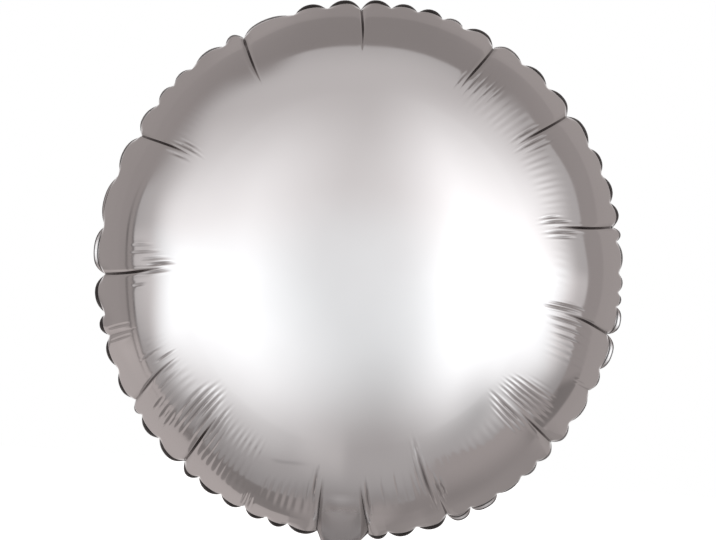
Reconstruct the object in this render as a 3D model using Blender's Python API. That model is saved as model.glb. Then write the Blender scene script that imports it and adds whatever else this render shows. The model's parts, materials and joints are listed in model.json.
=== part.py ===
"""A round foil balloon, blown up and hanging in the air by its own gas.

Two round foil panels, front and back, are heat sealed together round their edge. Blowing them up pulls the edge
in, so the foil gathers there into deep creases with scalloped lobes between them. At the bottom both panels run
on into a neck, and below the neck is the flat filling tail with the two films of a self-closing valve in it.

Metres, +Z up. The origin is the middle of the envelope, and the front panel faces -Y.
"""

import math

import bmesh
import bpy
from mathutils import Vector

# Driving dimensions
SEAM_RADIUS = 0.178  # middle of the envelope to the seam, at the tips of the scallops
TALLER = 0.009  # share by which the envelope is taller, and the same by which it is narrower
HALF_DEPTH = 0.088  # middle plane to the crown of one panel
CROWN_SHAPE = 0.55  # exponent of the blown-up foil's section
WALL = 0.0016  # thickness of a panel
GAP = 0.0003  # between two pieces that touch
CORNER_GAP = 0.0007  # the same, along the narrow valley beside the neck
NOTCH_DEPTH = 0.0038  # between two scallops, at the seam
NOTCH_REACH = 0.160  # radius where the scallops begin
LOBE_BULGE = 0.0022  # how far the foil swells between two creases
RIM_WIDTH = 0.004  # heat-sealed edge outside the seam
VALLEY_WIDTH = 0.008  # the same, where it fills the valley beside the neck
RIM_THICKNESS = 0.001

NECK_TOP = -0.186
NECK_TOP_HALF = 0.0125  # the neck is a round tube here
NECK_REACH = 0.132  # radius where the neck's lobe begins to leave the envelope
HINGE_Z = -0.2165  # where the tail folds
NECK_BOTTOM = HINGE_Z + 0.0023
NECK_BOTTOM_HALF = 0.018
NECK_BOTTOM_DEPTH = 0.0008
NECK_SECTIONS = 6

TAIL_LENGTH = 0.047
TAIL_HALF = 0.0225
TAIL_CORNER = 0.007
TAIL_PLY = 0.0005
VALVE_FILM = 0.0003
VALVE_HALF = 0.0145
VALVE_RISE = 0.0015  # how far the films stand above the fold
VALVE_SHORT = 0.003  # how far the films end above the tail's end
THUMB_NOTCH = 0.008  # radius of the half-round notch in the front ply

# The creases, clockwise from the neck as the front is seen: angle at the rim, angle at its inner end, radius of
# its inner end, depth at the rim, and the angles of the notches between it and the next crease.
CREASES = (
    (5.3, 8.0, 0.128, 0.0035, (11.8, 16.6)),
    (21.7, 22.0, 0.152, 0.0040, (27.5, 32.5)),
    (38.5, 41.5, 0.128, 0.0050, (46.0, 51.6)),
    (55.4, 60.5, 0.132, 0.0060, (63.6,)),
    (70.6, 71.0, 0.150, 0.0035, (75.5,)),
    (84.8, 86.5, 0.128, 0.0065, (96.0, 107.5)),
    (116.9, 120.3, 0.132, 0.0055, (125.5, 130.7, 136.3, 144.0)),
    (149.7, 147.8, 0.138, 0.0045, (157.0, 163.0, 169.5)),
    (176.5, 176.2, 0.142, 0.0045, (183.0, 189.2, 194.5, 199.0, 203.5)),
    (208.0, 205.0, 0.134, 0.0055, (214.2, 221.5, 226.5)),
    (229.7, 228.0, 0.134, 0.0050, (238.0, 244.8, 251.0)),
    (256.7, 253.0, 0.126, 0.0065, (259.7, 266.7, 271.0, 274.0)),
    (280.6, 277.0, 0.128, 0.0060, (289.2,)),
    (294.8, 294.6, 0.158, 0.0040, (303.0,)),
    (308.0, 307.0, 0.124, 0.0055, (313.0, 317.8, 324.7, 331.0)),
    (336.3, 339.0, 0.128, 0.0055, (343.0, 348.5)),
    (354.2, 355.5, 0.145, 0.0035, ()),
)
ACROSS_SCALLOP = (0.0, 0.78, 1.0, 0.78)  # share of the swelling at a scallop's four columns, from its notch
NECK_COLUMNS = 12

# Rings of a panel, from the middle out: share of the seam's radius, and how many columns share one of the ring's
# corners.
OUTER_RINGS = (
    (0.22, 4), (0.42, 4), (0.58, 4), (0.70, 2), (0.79, 2), (0.86, 2), (0.915, 1), (0.955, 1), (0.985, 1), (1.0, 1)
)
INNER_RINGS = ((0.985, 1), (0.94, 2), (0.86, 2), (0.72, 4), (0.50, 4), (0.25, 4))

FOIL = ("foil", (0.80, 0.78, 0.78, 1.0), 1.0, 0.28)
SEALED_FOIL = ("sealed foil", (0.72, 0.70, 0.70, 1.0), 1.0, 0.36)
VALVE = ("valve film", (0.86, 0.87, 0.88, 1.0), 0.0, 0.30)


def clear_scene():
    for old in list(bpy.data.objects):
        bpy.data.objects.remove(old)


def material(name, colour, metallic, roughness):
    """A plain finish, made once and shared."""
    found = bpy.data.materials.get(name)
    if found is None:
        found = bpy.data.materials.new(name)
        found.use_nodes = True
        shader = found.node_tree.nodes["Principled BSDF"]
        shader.inputs["Base Color"].default_value = colour
        shader.inputs["Metallic"].default_value = metallic
        shader.inputs["Roughness"].default_value = roughness
    return found


def add_object(name, mesh_in_work, finish, parent=None):
    """Turns a bmesh in world coordinates into a named object, with its faces pointing out."""
    bmesh.ops.recalc_face_normals(mesh_in_work, faces=mesh_in_work.faces)
    mesh = bpy.data.meshes.new(name)
    mesh_in_work.to_mesh(mesh)
    mesh_in_work.free()
    mesh.shade_smooth()
    mesh.set_sharp_from_angle(angle=math.radians(50))
    mesh.materials.append(material(*finish))
    made = bpy.data.objects.new(name, mesh)
    bpy.context.scene.collection.objects.link(made)
    if parent is not None:
        made.parent = parent
        made.matrix_parent_inverse = parent.matrix_world.inverted()
    return made


def ramp(value, start, end):
    """0 before start, 1 after end, and smooth in between."""
    share = min(1.0, max(0.0, (value - start) / (end - start)))
    return share * share * (3.0 - 2.0 * share)


def columns():
    """The panel's columns round the rim, from the first crease to the neck. Each is a dict of what shapes it."""
    made = []
    for index, crease in enumerate(CREASES[:-1]):
        following = CREASES[index + 1]
        rim, inner, reach, depth, notches = crease
        edges = (rim, *notches, following[0])
        for start, end in zip(edges, edges[1:]):
            for step, swell in enumerate(ACROSS_SCALLOP):
                angle = start + (end - start) * step / len(ACROSS_SCALLOP)
                across = (angle - rim) / (following[0] - rim)
                lean = (1.0 - across) * (inner - rim) + across * (following[1] - following[0])
                made.append(
                    {
                        "angle": angle,
                        "lean": lean,
                        "across": across,
                        "swell": swell,
                        "depth": depth if across == 0.0 else 0.0,
                        "reach": reach,
                        "neck": None,
                    }
                )
    made += neck_columns()
    return made


def neck_columns():
    """The last crease and the columns of the neck's lobe, which run on down the neck."""
    rim, inner, reach, depth, _ = CREASES[-1]
    first_rim, first_inner = CREASES[0][0] + 360.0, CREASES[0][1] + 360.0
    made = []
    for step in range(NECK_COLUMNS):
        across = step / NECK_COLUMNS
        lean = (1.0 - across) * (inner - rim) + across * (first_inner - first_rim)
        made.append(
            {
                "angle": rim + (first_rim - rim) * across,
                "lean": lean,
                "across": across,
                "swell": 1.0 if step else 0.0,
                "depth": 0.0 if step else depth,
                "reach": reach,
                "neck": (step - 1) / (NECK_COLUMNS - 2) if step else None,
            }
        )
    return made


def section(radius):
    """Height of the blown-up foil over the seam's plane, at a distance from the middle."""
    share = min(1.0, radius / SEAM_RADIUS)
    return HALF_DEPTH * (1.0 - share**3) ** CROWN_SHAPE


def outward(radius):
    """The section's normal, as its parts along the radius and away from the seam's plane."""
    step = SEAM_RADIUS * 0.002
    if radius > SEAM_RADIUS - 2.0 * step:
        return 1.0, 0.0
    slope = (section(radius + step) - section(radius - step)) / (2.0 * step)
    length = math.hypot(1.0, slope)
    return -slope / length, 1.0 / length


def seam_inset(column):
    """How far the seam lies inside the scallops' tips at a column."""
    return NOTCH_DEPTH * (1.0 - column["swell"]) + column["depth"]


def on_radius(angle, radius, height, side):
    """A point at an angle clockwise from the neck, on the front (side -1) or the back (side 1)."""
    turn = math.radians(angle)
    reach = radius * (1.0 + TALLER * math.cos(2.0 * turn))
    return Vector((-reach * math.sin(turn), side * height, -reach * math.cos(turn)))


def neck_point(share, level, side, inset=0.0):
    """A point of the neck's section. share runs round the half section, and level from its top, 0, to its bottom, 1."""
    round_by = math.pi * share
    half = NECK_TOP_HALF + (NECK_BOTTOM_HALF - NECK_TOP_HALF) * level**1.4 - inset
    swell = NECK_TOP_HALF - inset
    depth = max(NECK_BOTTOM_DEPTH, swell * (1.0 - level**1.6) + NECK_BOTTOM_DEPTH * level)
    height = GAP / 2.0 + (depth - GAP / 2.0) * math.sin(round_by)
    z = NECK_TOP + (NECK_BOTTOM - NECK_TOP) * level
    return Vector((half * math.cos(round_by), side * height, z))


def panel_point(column, share, side, inset):
    """A point of a panel's surface at a share of the seam's radius, inset from the outer face."""
    radius = SEAM_RADIUS * share
    to_rim, to_crown = outward(radius)
    dip = column["depth"] * ramp(radius, column["reach"], SEAM_RADIUS)
    notch = NOTCH_DEPTH * (1.0 - column["swell"]) * ramp(radius, NOTCH_REACH, SEAM_RADIUS)
    bulge = LOBE_BULGE * math.sin(math.pi * column["across"]) * ramp(radius, 0.12, 0.165) * (1.0 - share**12)
    move = bulge - dip - notch - inset
    grown = radius + to_rim * move
    height = max(section(radius) + to_crown * move, GAP / 2.0)
    if share == 1.0:
        height = GAP / 2.0
    angle = column["angle"] + column["lean"] * (1.0 - ramp(radius, column["reach"], SEAM_RADIUS))
    point = on_radius(angle, grown, height, side)
    if column["neck"] is not None:
        along = ramp(radius, NECK_REACH, SEAM_RADIUS)
        point = point.lerp(neck_point(column["neck"], 0.0, side, inset), along**1.5)
    return point


def join_rings(work, inside, outside):
    """Faces between two rings that have equally many corners, or where one has twice as many as the other."""
    if len(inside) > len(outside):
        inside, outside = outside, inside
    count = len(inside)
    double = len(outside) == 2 * count
    for i in range(count):
        a, b = inside[i], inside[(i + 1) % count]
        if double:
            left, middle, right = outside[2 * i], outside[2 * i + 1], outside[(2 * i + 2) % (2 * count)]
            for corners in ((a, left, middle), (a, middle, b), (b, middle, right)):
                work.faces.new(corners)
        else:
            work.faces.new((a, outside[i], b))
            work.faces.new((b, outside[i], outside[(i + 1) % count]))


def build_panel(name, side):
    """One panel: its outer face, the narrow lip at the seam, and its inner face."""
    work = bmesh.new()
    around = columns()
    rings = []
    for rows, inset in ((OUTER_RINGS, 0.0), (((1.0, 1), *INNER_RINGS), WALL)):
        for share, every in rows:
            ring = [work.verts.new(panel_point(c, share, side, inset)) for c in around[::every]]
            rings.append(ring)
    for ring, following in zip(rings, rings[1:]):
        join_rings(work, ring, following)
    for ring, height in ((rings[0], HALF_DEPTH), (rings[-1], HALF_DEPTH - WALL)):
        pole = work.verts.new((0.0, side * height, 0.0))
        for i, corner in enumerate(ring):
            work.faces.new((pole, corner, ring[(i + 1) % len(ring)]))
    bmesh.ops.triangulate(work, faces=work.faces)
    return add_object(name, work, FOIL)


def extruded(outline, low, high):
    """A bmesh of a flat outline in X and Z, given its thickness along Y."""
    work = bmesh.new()
    face = work.faces.new([work.verts.new((x, low, z)) for x, z in outline])
    pushed = bmesh.ops.extrude_face_region(work, geom=[face])
    top = [v for v in pushed["geom"] if isinstance(v, bmesh.types.BMVert)]
    bmesh.ops.translate(work, verts=top, vec=(0.0, high - low, 0.0))
    bmesh.ops.triangulate(work, faces=work.faces)
    return work


def seam_band_line():
    """The inner and outer edge of the band, as pairs of points, round the envelope and down the neck's sides."""
    rim = [c for c in columns() if c["neck"] is None]
    pairs = []
    for column in rim:
        seam = SEAM_RADIUS - seam_inset(column)
        beside_neck = column["angle"] in (rim[0]["angle"], rim[-1]["angle"])
        edges = (CORNER_GAP, VALLEY_WIDTH) if beside_neck else (GAP, RIM_WIDTH)
        pairs.append(tuple(on_radius(column["angle"], seam + out, 0.0, 1.0) for out in edges))
    left, right = [], []
    for i in range(NECK_SECTIONS + 1):
        for side, share, hand in ((left, 1.0, -1.0), (right, 0.0, 1.0)):
            point = neck_point(share, i / NECK_SECTIONS, 0.0)
            side.append(tuple(point + Vector((hand * out, 0.0, 0.0)) for out in (GAP, RIM_WIDTH)))
    return [*reversed(left), *pairs, *right]


def build_seam_band():
    """The heat-sealed edge that stands out past the seam, all round the envelope and the neck."""
    work = bmesh.new()
    half = RIM_THICKNESS / 2.0
    loops = []
    for inner, outer in seam_band_line():
        corners = ((inner, -half), (outer, -half), (outer, half), (inner, half))
        loops.append([work.verts.new((p.x, y, p.z)) for p, y in corners])
    for loop, following in zip(loops, loops[1:]):
        join_rings(work, loop, following)
    for end in (loops[0], loops[-1]):
        work.faces.new(end)
    bmesh.ops.triangulate(work, faces=work.faces)
    return add_object("seam_band", work, SEALED_FOIL)


def build_neck(name, side):
    """One half of the neck, which is a round tube at the envelope and flat at the tail."""
    work = bmesh.new()
    steps = NECK_COLUMNS - 2
    sections = []
    for i in range(NECK_SECTIONS + 1):
        level = i / NECK_SECTIONS
        ring = [neck_point(step / steps, level, side) for step in range(steps + 1)]
        if i == 0:
            ring = [p - Vector((0.0, 0.0, GAP)) for p in ring]
        sections.append([work.verts.new(p) for p in ring])
    for ring, following in zip(sections, sections[1:]):
        join_rings(work, ring, following)
    for end in (sections[0], sections[-1]):
        work.faces.new(end)
    bmesh.ops.triangulate(work, faces=work.faces)
    return add_object(name, work, FOIL)


def arc(centre, radius, start, end, steps):
    """Points of an arc in X and Z, its angles in degrees from +X towards +Z."""
    angles = [math.radians(start + (end - start) * i / steps) for i in range(steps + 1)]
    return [(centre[0] + radius * math.cos(a), centre[1] + radius * math.sin(a)) for a in angles]


def tail_outline(half, top, bottom, corner, thumb=0.0):
    """A strip with round lower corners and, where thumb isn't 0, a half-round notch in its end."""
    outline = [(half, top), *arc((half - corner, bottom + corner), corner, 0.0, -90.0, 6)]
    if thumb:
        outline += arc((0.0, bottom), thumb, 0.0, 180.0, 12)
    outline += arc((corner - half, bottom + corner), corner, -90.0, -180.0, 6)
    return [*outline, (-half, top)]


def build_tail(fold):
    """The filling tail: two foil plies, the seals down its sides, and the valve's two films between them."""
    end = HINGE_Z - TAIL_LENGTH
    inside = 1.5 * GAP + VALVE_FILM  # from the middle plane to a ply
    for name, side, thumb in (("tail_front_ply", -1.0, THUMB_NOTCH), ("tail_back_ply", 1.0, 0.0)):
        outline = tail_outline(TAIL_HALF, HINGE_Z, end, TAIL_CORNER, thumb)
        low, high = sorted((side * inside, side * (inside + TAIL_PLY)))
        add_object(name, extruded(outline, low, high), FOIL, fold)
    for name, side in (("valve_front_film", -1.0), ("valve_back_film", 1.0)):
        outline = tail_outline(VALVE_HALF, HINGE_Z + VALVE_RISE, end + VALVE_SHORT, VALVE_FILM)
        low, high = sorted((side * GAP / 2.0, side * (GAP / 2.0 + VALVE_FILM)))
        add_object(name, extruded(outline, low, high), VALVE, fold)
    half_seal = GAP / 2.0 + VALVE_FILM
    for name, hand in (("tail_seal_left", -1.0), ("tail_seal_right", 1.0)):
        inner, outer = VALVE_HALF + GAP, TAIL_HALF
        corner = arc((outer - TAIL_CORNER, end + TAIL_CORNER), TAIL_CORNER, 0.0, -80.0, 6)
        outline = [(outer, HINGE_Z + VALVE_RISE), *corner, (inner, end), (inner, HINGE_Z + VALVE_RISE)]
        work = extruded([(hand * x, z) for x, z in outline], -half_seal, half_seal)
        add_object(name, work, SEALED_FOIL, fold)


def main():
    clear_scene()
    build_panel("front_panel", -1.0)
    build_panel("back_panel", 1.0)
    build_seam_band()
    build_neck("neck_front", -1.0)
    build_neck("neck_back", 1.0)
    fold = bpy.data.objects.new("tail_fold_axis", None)
    fold.location = (0.0, 0.0, HINGE_Z)
    bpy.context.scene.collection.objects.link(fold)
    bpy.context.view_layer.update()
    build_tail(fold)


main()
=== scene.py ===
"""The looks of a round foil balloon of satin metallised film, creased and scalloped at its sealed edge.

Each panel of the real balloon is cut in one piece with its half of the neck and its ply of the tail, so the
front and the back are one sheet of foil each, from the crown to the tail's end. A sealed band runs round all
of it.
"""

import json
import math
from collections import namedtuple

import bpy
import numpy as np
from mathutils import Matrix, Vector


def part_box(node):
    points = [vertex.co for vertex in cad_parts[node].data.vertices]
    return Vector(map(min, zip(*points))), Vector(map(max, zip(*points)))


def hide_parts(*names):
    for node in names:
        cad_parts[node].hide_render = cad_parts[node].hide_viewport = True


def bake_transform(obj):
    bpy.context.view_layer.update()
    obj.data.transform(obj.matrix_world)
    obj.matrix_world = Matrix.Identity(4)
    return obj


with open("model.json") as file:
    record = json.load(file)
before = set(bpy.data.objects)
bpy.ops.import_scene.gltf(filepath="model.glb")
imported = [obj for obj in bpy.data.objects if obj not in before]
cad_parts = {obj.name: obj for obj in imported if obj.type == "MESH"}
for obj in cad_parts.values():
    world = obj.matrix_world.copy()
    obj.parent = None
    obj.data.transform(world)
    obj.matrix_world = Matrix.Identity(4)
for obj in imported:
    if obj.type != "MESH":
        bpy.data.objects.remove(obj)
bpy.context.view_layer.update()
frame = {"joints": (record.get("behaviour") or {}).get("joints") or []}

# Sizes taken from the frame, in metres
NECK_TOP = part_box("neck_front")[1].z
TAIL_LOW, TAIL_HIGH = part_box("tail_back_ply")
TAIL_END = TAIL_LOW.z
TAIL_HALF = TAIL_HIGH.x
FOLD_Z = frame["joints"][0]["pos_m"][2]
HALF_DEPTH = -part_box("front_panel")[0].y

# The blown-up foil. Radii are from the envelope's middle, and lengths are in metres.
SECTION_STEPS = 6001  # points of the section
FORM_RADIUS = 0.1762  # the section's height is HALF_DEPTH * (1 - share ** CROWN_POWER) ** CROWN_SHAPE
CROWN_POWER = 3.0
CROWN_SHAPE = 0.55
STEEPEST = 2.45  # the foil meets the seam at this slope
PROBE = 0.0004  # either way along the foil, to find its slope
RIM_FLAT = 0.006  # swelling and folds fade out over this length before the seam
TALLER = 0.009  # share by which the envelope is taller, and the same by which it is narrower
SAGGING = 0.0009  # how far its lower edge hangs below a true round
LOBE_BULGE = 0.0011  # how far the foil swells between two creases
LOBE_RADII = (0.118, 0.160)  # the swelling grows between these
CALM_RADII = (0.162, 0.178)  # and between these it loses the share below
LOBE_CALM = 0.6
RIM_BULGE = 0.0010  # how much more it swells beside the seam
RIM_RADII = (0.158, 0.176)
SEAM_WAVE = 0.0012  # how far the seam waves to the back at a scallop's middle
WAVE_REACH = 0.012  # how far in the panels follow it

# The creases: round shoulders that fall in from both sides, with a sharp bottom between them
LEAN_FROM = 0.92  # share of a crease's inner radius from where it turns aside
CREASE_FROM = 0.95  # and from where it is worked out at all
SHOULDER_INNER, SHOULDER_RIM = 0.0016, 0.0085  # how wide a shoulder is
SHOULDER_SHARE = 0.48  # of the depth in the table
SLOT_HALF = 0.0012  # half the width of the sharp bottom
SLOT_DEEPENS, SLOT_WIDENS = 0.022, 0.020  # over these lengths from the inner end
SLOT_LIP = 0.055  # how far the foil stands up beside it, as a share of its depth
# SLOT_SHADE is the shade painted along a crease's sharp bottom
SLOT_SHADE = 0.62
DARK_SLOT = 0.0030  # a bottom this deep has all of that shade
SHADE_LENGTHS = (0.001, 0.018)  # it grows between these lengths from the inner end
SHADE_WIDTHS = (0.82, 0.20)  # and across the bottom between these shares of its half
RIM_CREASE_SHADE = 0.45  # how dark the painted shade is at the rim's end of a crease
RIM_CREASE_SHADE_WIDTH = 0.45  # as a share of the shoulder's

# The scallops' notches and the seam
NOTCH_DEPTH = 0.0036
NOTCH_REACH = 0.014  # how far up the side a notch's pleat runs
USUAL_SCALLOP = 7.0  # degrees from notch to notch, and a wider scallop has deeper notches
SCALLOP_LIMITS = (0.75, 1.25)
NOTCH_CALM, NOTCH_CALM_SPAN = 0.6, 3.0  # how much shallower a notch is at the neck, and for how many degrees
RIM_SHADES = ((0.30, 0.0020), (0.25, 0.0005))  # how dark the shade painted beside the seam is, and how fast that fades inwards

# The fine folds and the fans of wrinkles
FOLD_HALF = 0.00098  # half the width of a fold
FOLD_SLIM, FOLD_WIDENS = 0.70, 250.0  # times that, and more for each metre of depth
FOLD_BOLDNESS = 1.35
FOLD_LIP = 0.35  # how far the foil stands up beside a fold, as a share of its depth
# FOLD_SHADE is the shade painted along a fold's middle
FOLD_SHADE = 0.75
DARK_FOLD = 0.0009  # a fold as deep as this would be black
FAN_BOLDNESS = 1.25
FAN_STARTS, FAN_STOPS = 0.010, 0.008  # the lengths over which wrinkles come and go
FAN_SIDES = 0.2  # and the share of a fan's angle on each side
BACK_SHIFT = 9.0  # degrees by which the back's wrinkles lie elsewhere

# The sealed edge
BAND_WIDTH = 0.0046
BAND_HALF = 0.00014  # half its thickness
BAND_ACROSS = (0.0, 0.3, 0.6, 0.8, 1.0)  # its corners from the seam to its outer edge
BAND_LIES = {  # tilt to the back in degrees, share of the width, and brightness, low for painted shade, at a scallop's middle
    "b": (61.0, 1.0, 0.02),
    "c": (67.0, 1.0, 0.02),
    "n": (76.0, 1.0, 0.25),
    "w": (24.0, 0.66, 1.0),
    "v": (52.0, 0.66, 1.0),
}
PALE_LIES = "wv"  # the flaps turned to the front and left unshaded, which get a dark outline
NOTCH_TILT, NOTCH_TONE = 84.0, 0.35  # the same at a notch
BAND_REAR_TONE = 0.4
FLAP_RIM_TONE = 0.12  # the dark outline of a flap that is turned to the front
NECK_TILT = 82.0  # of the edge beside the neck's root, in degrees
NECK_TILT_DROPS = (0.004, 0.026)  # it flattens between these lengths below the root
NECK_EDGE_TONE = 0.5
LEAST_EDGE = 0.0002  # width where the tail's corner would cut it off

# The neck and the tail
NECK_HALF = 0.0123  # half the neck's width where it leaves the envelope
NECK_DEPTH = 0.0115
NECK_SLOPE = 0.82  # how fast the neck's lobe falls away towards the neck
NECK_START = 0.150  # radius where the neck's lobe begins to leave the envelope
NECK_MARGIN = 0.06  # share of the gap between the creases that stays free on each side
NECK_RIDGE = 0.004  # how softly the lobe turns into the slope
NECK_SHADES = ((0.12, 0.150, 0.158), (0.14, 0.158, 0.170))  # how much painted shade the neck gets between two radii
NECK_SHADE = 0.26  # and down to the fold
NECK_EDGES = ((0.12, 2), (0.46, 14))  # how dark the shade painted on its sides is, and how close to the edge that keeps
FILM_GAP = 0.00022  # from the middle plane to a ply in the tail
TAIL_PUFF = 0.0007  # how far a ply stands off the films
CRUMPLE = 0.00013  # height of the tail's fine waves
TAIL_PLY_HALF = TAIL_HALF - BAND_WIDTH
THUMB_NOTCH = 0.008
TAIL_CORNER = 0.007
GATHERED_ROUGH = 0.22  # how much duller the gathered foil of the neck is
GATHERED_TOP = (-0.168, -0.148)  # heights between which it ends
GATHERED_SIDE = (0.013, 0.022)  # and its reach to each side
GATHERED_FOOT = 0.020  # above the fold

# Columns, rings and rows of the meshes
COLUMN_STEP = 0.60  # degrees
FAN_STEP = 0.19
NEAR_CREASE = (0.035, 0.08, 0.14, 0.21, 0.30, 0.42, 0.58, 0.80, 1.10, 1.50, 2.00)  # degrees from a crease
NEAR_FOLD = (0.11, 0.22, 0.34, 0.48, 0.66)
COLUMN_ROOM = ((0.5, 0.03), (2.0, 0.09), (360.0, 0.11))  # least step up to so many degrees from a crease
OUTER_RINGS = 46
INNER_RINGS = 12
COARSE = 4  # columns that share one corner in the inner rings
FINE_FROM = 0.53  # share of the section's length where every column has its own corner
NECK_ROWS = 110
NECK_COLUMNS = 56

# Creases, clockwise from the neck as the front is seen. Angles are in degrees and lengths in metres: angle
# at the rim and at the inner end, how far the middle bows, radius of the inner end, depth of the shoulders at
# the rim and of the sharp bottom, angles of the scallops' notches up to the next crease, and how the sealed
# edge lies on each of those scallops: b bent back, c bent further back, n folded in behind, w turned to the
# front and v half turned to it.
Crease = namedtuple("Crease", "rim inner bow reach shoulder slot notches lies")
CREASES = [Crease(*row) for row in (
    (5.0, 5.9, 0.0, 0.138, 0.0028, 0.0026, (11.6, 16.3), "bbb"),
    (21.8, 21.8, 0.0, 0.160, 0.0028, 0.0022, (27.3, 33.3), "bbb"),
    (38.1, 39.8, 0.0, 0.134, 0.0038, 0.0036, (45.6, 51.8), "bbn"),
    (55.3, 60.1, 0.5, 0.134, 0.0034, 0.0020, (63.3,), "bb"),
    (70.8, 71.0, 0.0, 0.152, 0.0026, 0.0012, (75.6,), "bb"),
    (84.6, 86.3, -0.5, 0.130, 0.0040, 0.0038, (95.3, 106.8), "wvn"),
    (117.1, 119.9, 0.2, 0.134, 0.0036, 0.0032, (125.3, 130.3, 135.8, 144.8), "nnnnn"),
    (149.1, 147.9, -0.3, 0.137, 0.0034, 0.0030, (161.2, 168.8), "nbb"),
    (176.2, 176.3, 0.4, 0.142, 0.0036, 0.0034, (182.8, 188.8, 194.3, 199.3), "bcbnc"),
    (207.2, 204.6, 0.2, 0.134, 0.0036, 0.0032, (214.3, 222.1), "ncc"),
    (229.5, 227.4, 0.2, 0.132, 0.0034, 0.0030, (237.8, 244.8, 251.3), "cccc"),
    (256.5, 253.4, 0.5, 0.132, 0.0040, 0.0038, (259.8, 266.8, 271.3, 274.3), "nnnnw"),
    (280.6, 278.2, -0.6, 0.139, 0.0038, 0.0036, (288.8,), "wn"),
    (293.8, 293.8, 0.0, 0.160, 0.0026, 0.0012, (302.3,), "nn"),
    (308.0, 307.5, 0.0, 0.141, 0.0038, 0.0028, (313.3, 317.8, 324.3, 330.8), "nnnww"),
    (336.2, 337.0, 0.0, 0.156, 0.0036, 0.0034, (343.3, 349.8), "bbb"),
    (354.0, 355.6, 0.3, 0.140, 0.0028, 0.0026, (), "n"),
)]
SHALLOW = (1, 3, 4, 13)  # the creases that a lobe's swelling runs through
# After each of the other creases, how much the lobe swells
LOBE_SWELL = (1.3, 1.9, 1.3, 1.0, 0.3, 0.3, 0.8, 1.0, 1.0, 1.3, 0.8, 0.6, 0.0)

# Fine folds, mostly beside the creases: the column's angle, the radius of each end, and the depth.
FOLDS = (
    (6.9, 0.158, 0.130, 0.00060), (8.6, 0.158, 0.140, 0.00020), (20.9, 0.177, 0.163, 0.00060),
    (22.5, 0.177, 0.161, 0.00045), (34.3, 0.163, 0.128, 0.00030), (35.8, 0.161, 0.124, 0.00036),
    (37.2, 0.158, 0.121, 0.00045), (39.9, 0.160, 0.120, 0.00050), (41.3, 0.150, 0.117, 0.00050),
    (42.6, 0.164, 0.117, 0.00060), (44.1, 0.165, 0.116, 0.00056), (45.7, 0.160, 0.122, 0.00030),
    (46.4, 0.170, 0.152, 0.00040), (48.3, 0.169, 0.153, 0.00044), (50.6, 0.168, 0.153, 0.00036),
    (52.6, 0.158, 0.134, 0.00022), (54.3, 0.153, 0.132, 0.00022), (58.3, 0.150, 0.132, 0.00040),
    (61.6, 0.158, 0.140, 0.00030), (69.5, 0.176, 0.157, 0.00036), (72.4, 0.176, 0.156, 0.00036),
    (81.2, 0.152, 0.142, 0.00036), (83.9, 0.148, 0.124, 0.00045), (85.9, 0.144, 0.121, 0.00060),
    (87.5, 0.148, 0.126, 0.00026), (89.4, 0.156, 0.132, 0.00028), (91.2, 0.154, 0.138, 0.00020),
    (115.6, 0.150, 0.132, 0.00030), (118.6, 0.152, 0.126, 0.00045), (120.1, 0.148, 0.130, 0.00030),
    (149.0, 0.176, 0.164, 0.00100), (205.6, 0.150, 0.132, 0.00036), (208.9, 0.156, 0.131, 0.00045),
    (210.7, 0.156, 0.131, 0.00040), (213.0, 0.156, 0.131, 0.00030), (215.1, 0.156, 0.134, 0.00022),
    (227.9, 0.155, 0.129, 0.00045), (231.1, 0.156, 0.127, 0.00045), (232.9, 0.158, 0.131, 0.00026),
    (253.4, 0.140, 0.122, 0.00036), (254.9, 0.148, 0.121, 0.00050), (257.9, 0.152, 0.122, 0.00050),
    (259.4, 0.150, 0.124, 0.00030), (278.2, 0.156, 0.125, 0.00045), (279.4, 0.150, 0.121, 0.00050),
    (282.1, 0.158, 0.126, 0.00045), (283.9, 0.160, 0.128, 0.00030), (285.7, 0.160, 0.131, 0.00022),
    (293.0, 0.170, 0.160, 0.00022), (300.4, 0.160, 0.122, 0.00036), (301.9, 0.162, 0.120, 0.00045),
    (303.3, 0.160, 0.118, 0.00045), (304.7, 0.158, 0.120, 0.00045), (306.1, 0.154, 0.119, 0.00050),
    (309.4, 0.152, 0.117, 0.00060), (310.8, 0.152, 0.120, 0.00040), (312.2, 0.150, 0.124, 0.00026),
    (334.3, 0.162, 0.146, 0.00050), (335.4, 0.166, 0.142, 0.00050), (337.6, 0.171, 0.115, 0.00110),
    (339.2, 0.150, 0.122, 0.00022), (352.6, 0.165, 0.134, 0.00060), (345.0, 0.155, 0.130, 0.00012),
    (348.6, 0.158, 0.132, 0.00012),
)

# Fans of fine wrinkles: first and last angle, inner and outer radius, spacing in degrees and height.
FANS = (
    (6.5, 21.5, 0.143, 0.168, 1.85, 0.000085),
    (22.5, 38.0, 0.126, 0.168, 1.57, 0.000095),
    (42.5, 54.5, 0.128, 0.160, 1.90, 0.000045),
    (57.5, 68.0, 0.134, 0.152, 2.20, 0.000030),
    (120.0, 132.0, 0.142, 0.158, 2.00, 0.000040),
    (206.5, 228.0, 0.126, 0.153, 2.05, 0.000052),
    (230.0, 253.0, 0.126, 0.151, 2.10, 0.000062),
    (258.0, 277.0, 0.128, 0.140, 2.40, 0.000035),
    (280.0, 292.0, 0.132, 0.164, 1.60, 0.000070),
    (297.0, 307.5, 0.130, 0.162, 1.60, 0.000060),
    (309.5, 335.0, 0.128, 0.146, 2.20, 0.000028),
    (339.0, 353.0, 0.128, 0.160, 2.00, 0.000040),
)

# The foil's colours: its clouds, and the colour of the shade painted into its creases, folds, seam and neck
CLOUD_DARK, CLOUD_PALE = (0.845, 0.832, 0.835), (0.885, 0.878, 0.880)
PAINTED_SHADE_COLOUR = (0.075, 0.058, 0.054)

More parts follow.
